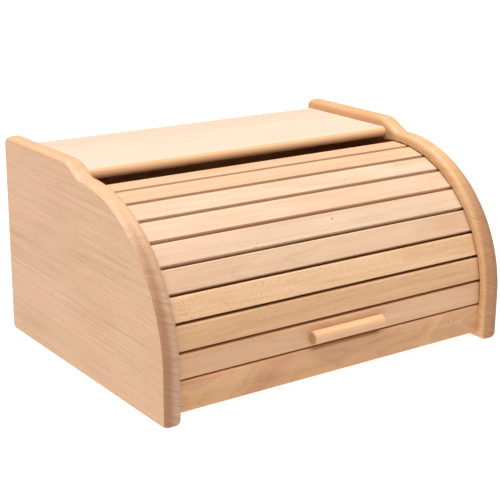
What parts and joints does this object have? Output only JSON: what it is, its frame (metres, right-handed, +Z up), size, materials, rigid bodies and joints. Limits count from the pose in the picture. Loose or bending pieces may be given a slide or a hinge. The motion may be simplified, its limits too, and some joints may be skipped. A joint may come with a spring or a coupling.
{
  "type": "bread box with roll top",
  "caption": "Wooden bread box whose slatted tambour lid slides in curved side tracks, from the front rail up and back under the top board.",
  "frame": {"origin": "middle of the whole box's footprint, on the surface it stands on", "axes": "+X to the right along the slats, seen from the front; the front and its handle face -Y; +Z up"},
  "size_m": [0.4, 0.305, 0.205],
  "materials": {
    "panel_wood": "bare beech, sanded, edges rounded, grain along the depth",
    "top_wood": "bare beech, sanded, pale, grain along the width",
    "slat_wood": "bare beech, sanded, tone varies from slat to slat",
    "rail_wood": "bare beech, flat-sawn figure",
    "dowel_wood": "plain beech dowel",
    "plywood": "rotary-cut beech plywood, sanded",
    "cloth": "brown linen canvas, glued",
    "steel": "zinc-plated countersunk screws"
  },
  "bodies": {
    "box": {"left_side_panel": "panel_wood", "right_side_panel": "panel_wood", "top_board": "top_wood", "bottom_board": "panel_wood", "back_panel": "plywood", "front_rail": "rail_wood", "top_dowel_left_1": "dowel_wood", "top_dowel_left_2": "dowel_wood", "rail_dowel_left_1": "dowel_wood", "rail_dowel_left_2": "dowel_wood", "top_dowel_right_1": "dowel_wood", "top_dowel_right_2": "dowel_wood", "rail_dowel_right_1": "dowel_wood", "rail_dowel_right_2": "dowel_wood", "back_screw_1": "steel", "back_screw_2": "steel", "back_screw_3": "steel", "back_screw_4": "steel", "back_screw_5": "steel", "back_screw_6": "steel", "back_screw_7": "steel", "back_screw_8": "steel", "back_screw_9": "steel", "back_screw_10": "steel", "back_screw_11": "steel", "back_screw_12": "steel"},
    "roll_top": {"slat_1": "slat_wood", "slat_2": "slat_wood", "slat_3": "slat_wood", "slat_4": "slat_wood", "slat_5": "slat_wood", "slat_6": "slat_wood", "slat_7": "slat_wood", "slat_8": "slat_wood", "slat_9": "slat_wood", "backing_cloth": "cloth", "handle": "slat_wood", "handle_screw_1": "steel", "handle_screw_2": "steel"}
  },
  "joints": [
    {"name": "roll_top_turn", "type": "hinge", "parent": "box", "child": "roll_top", "pos_m": [0, -0.0061, 0.0464], "axis": [-1, 0, 0], "range_deg": [0, 90]}
  ]
}
